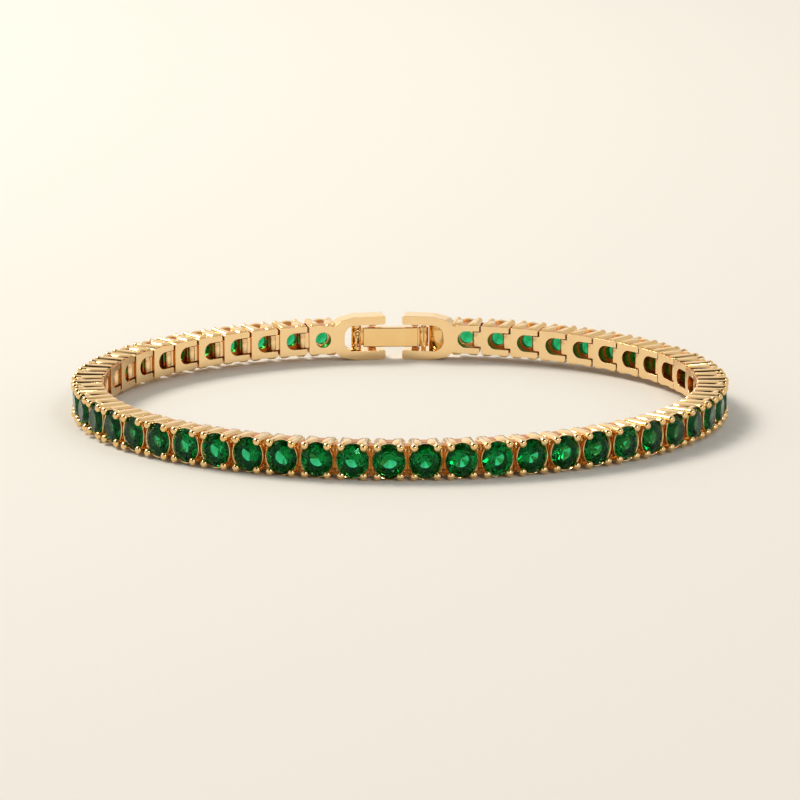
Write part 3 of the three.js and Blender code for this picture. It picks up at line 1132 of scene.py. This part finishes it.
for piece, node in stones.items():
    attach(piece, "bracelet")
    if node:
        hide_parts(node)
for piece in [*metal, *stones]:
    piece.data.calc_loop_triangles()
    print(piece.name, len(piece.data.loop_triangles), "triangles")

# %% [markdown]
# ## The floor
#
# The bracelet stands on a plain sheet of warm white paper with a little grain. The sheet takes
# the shadow, and it throws light back at the stones. It is large enough to fill the picture.


# %% Floor
FLOOR_SIZE = 6
FIBRE = 0.9
FIBRE_HEIGHT = 0.08


def paper():
    material, tree = new_material("warm_white_paper")
    where = add_node(tree, "ShaderNodeTexCoord").outputs["Object"]
    fibre = add_node(
        tree, "ShaderNodeTexNoise", {"Scale": per_mm(FIBRE), "Detail": 4.0}, {"Vector": where}
    )
    bump = add_node(
        tree,
        "ShaderNodeBump",
        {"Strength": 0.35, "Distance": FIBRE_HEIGHT * MM},
        {"Height": fibre.outputs["Fac"]},
    )
    shader = add_node(
        tree,
        "ShaderNodeBsdfPrincipled",
        {"Base Color": colour("#DFDED8"), "Roughness": 0.85},
        {"Normal": bump.outputs["Normal"]},
    )
    add_node(tree, "ShaderNodeOutputMaterial", None, {"Surface": shader.outputs["BSDF"]})
    return material


bpy.ops.object.select_all(action="DESELECT")
bpy.ops.mesh.primitive_plane_add(size=FLOOR_SIZE)
floor = bpy.context.active_object
floor.name = "floor"
floor.data.materials.append(paper())

# %% [markdown]
# ## The lights
#
# A soft window light on the left and behind throws the shadow to the right and to the front. A
# small weak panel in front on the right puts a glint on the near stones.


# %% Lights
def soft_light(name, location, size, power, tint):
    data = bpy.data.lights.new(name, "AREA")
    data.shape = "RECTANGLE"
    data.size, data.size_y = size
    data.energy = power
    data.color = colour(tint)[:3]
    lamp = bpy.data.objects.new(name, data)
    lamp.location = location
    lamp.rotation_euler = (-Vector(location)).to_track_quat("-Z", "Y").to_euler()
    bpy.context.scene.collection.objects.link(lamp)


soft_light("window", (-0.42, 0.32, 0.55), (0.28, 0.28), 5.0, "#FFF5E8")
soft_light("front_panel", (0.3, -0.5, 0.5), (0.16, 0.16), 0.9, "#FFFBF5")

# %% [markdown]
# ## The room
#
# Polished metal shows its surroundings more than its own colour. The room is pale, with a dark
# patch of ceiling above the camera's side, which gives each bead its dark core, and a brighter
# far wall, which gives the rounded edges their light lines. Each is a direction, and a dot
# product says how near to it a ray looks.

# %% Room
DARK_CEILING = (0.0, -0.42, 0.91)
BRIGHT_WALL = (-0.3, 0.93, 0.22)
CEILING_GLOW = 0.02
ROOM_GLOW = 0.72
WALL_GLOW = 0.42

world = bpy.data.worlds.new("pale_room")
bpy.context.scene.world = world
world.use_nodes = True
room = world.node_tree
room.nodes.clear()
way = add_node(room, "ShaderNodeTexCoord").outputs["Generated"]
towards_dark_ceiling = add_node(
    room, "ShaderNodeVectorMath", {"operation": "DOT_PRODUCT", 1: DARK_CEILING}, {0: way}
)
rise = add_node(
    room,
    "ShaderNodeMapRange",
    {"From Min": 0.93, "From Max": 0.72, "To Min": CEILING_GLOW, "To Max": ROOM_GLOW},
    {"Value": towards_dark_ceiling.outputs["Value"]},
)
towards_bright_wall = add_node(
    room, "ShaderNodeVectorMath", {"operation": "DOT_PRODUCT", 1: BRIGHT_WALL}, {0: way}
)
wall = add_node(
    room,
    "ShaderNodeMapRange",
    {"From Min": 0.8, "From Max": 0.97, "To Min": 0.0, "To Max": WALL_GLOW},
    {"Value": towards_bright_wall.outputs["Value"]},
)
both = add_node(
    room,
    "ShaderNodeMath",
    {"operation": "ADD"},
    {0: rise.outputs["Result"], 1: wall.outputs["Result"]},
)
glow = add_node(
    room,
    "ShaderNodeBackground",
    {"Color": colour("#FFFBF6")},
    {"Strength": both.outputs["Value"]},
)
add_node(room, "ShaderNodeOutputWorld", None, {"Surface": glow.outputs["Background"]})
bpy.context.scene.view_settings.view_transform = "Standard"
